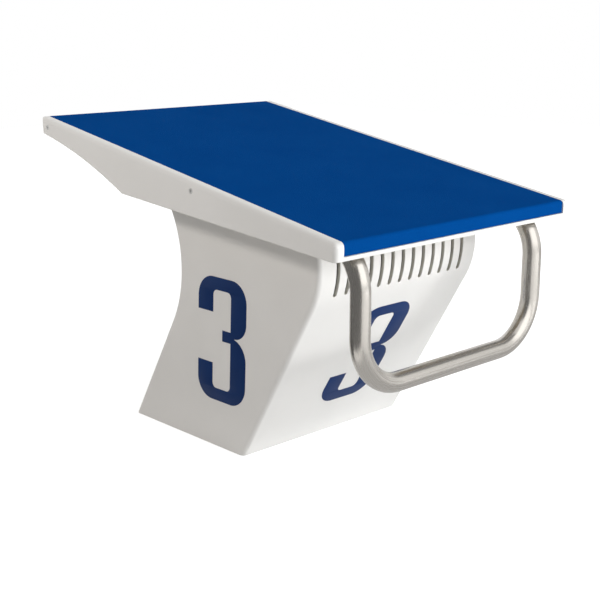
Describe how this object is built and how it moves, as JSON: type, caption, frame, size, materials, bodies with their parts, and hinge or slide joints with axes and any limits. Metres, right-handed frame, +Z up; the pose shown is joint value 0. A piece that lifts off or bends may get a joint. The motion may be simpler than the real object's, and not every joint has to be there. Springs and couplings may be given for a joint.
{
  "type": "swimming starting block",
  "caption": "Pool starting block: leaning hollow pedestal, sloping non-slip platform over the water, lane number and a steel hand rail for backstroke starts.",
  "frame": {"origin": "on the pool deck, under the middle of the platform's length and width", "axes": "+X is the swimmer's right when facing the water, -Y faces the water, +Z is up"},
  "size_m": [0.534, 0.715, 0.5233],
  "materials": {
    "gelcoat": "satin white gelcoat over glass-reinforced polyester",
    "grip": "matt blue non-slip surface with a fine grain",
    "plywood": "sealed marine plywood",
    "stainless": "satin ground stainless steel",
    "fastener_steel": "plain stainless steel",
    "film": "navy vinyl film"
  },
  "bodies": {
    "root": {"pedestal_shell": "gelcoat", "platform_shell": "gelcoat", "tread_pad": "grip", "stiffening_board": "plywood", "rail_tube": "stainless", "rail_foot_left": "stainless", "rail_backing_left": "fastener_steel", "rail_bolt_left_outer": "fastener_steel", "rail_washer_left_outer": "fastener_steel", "rail_bolt_left_inner": "fastener_steel", "rail_washer_left_inner": "fastener_steel", "clamp_strip_left": "fastener_steel", "clamp_bolt_left_1": "fastener_steel", "clamp_bolt_left_2": "fastener_steel", "clamp_bolt_left_3": "fastener_steel", "cover_screw_left_1": "fastener_steel", "cover_screw_left_2": "fastener_steel", "foot_strip_left": "stainless", "number_left": "film", "rail_foot_right": "stainless", "rail_backing_right": "fastener_steel", "rail_bolt_right_outer": "fastener_steel", "rail_washer_right_outer": "fastener_steel", "rail_bolt_right_inner": "fastener_steel", "rail_washer_right_inner": "fastener_steel", "clamp_strip_right": "fastener_steel", "clamp_bolt_right_1": "fastener_steel", "clamp_bolt_right_2": "fastener_steel", "clamp_bolt_right_3": "fastener_steel", "cover_screw_right_1": "fastener_steel", "cover_screw_right_2": "fastener_steel", "foot_strip_right": "stainless", "number_right": "film", "number_front": "film"}
  },
  "joints": []
}
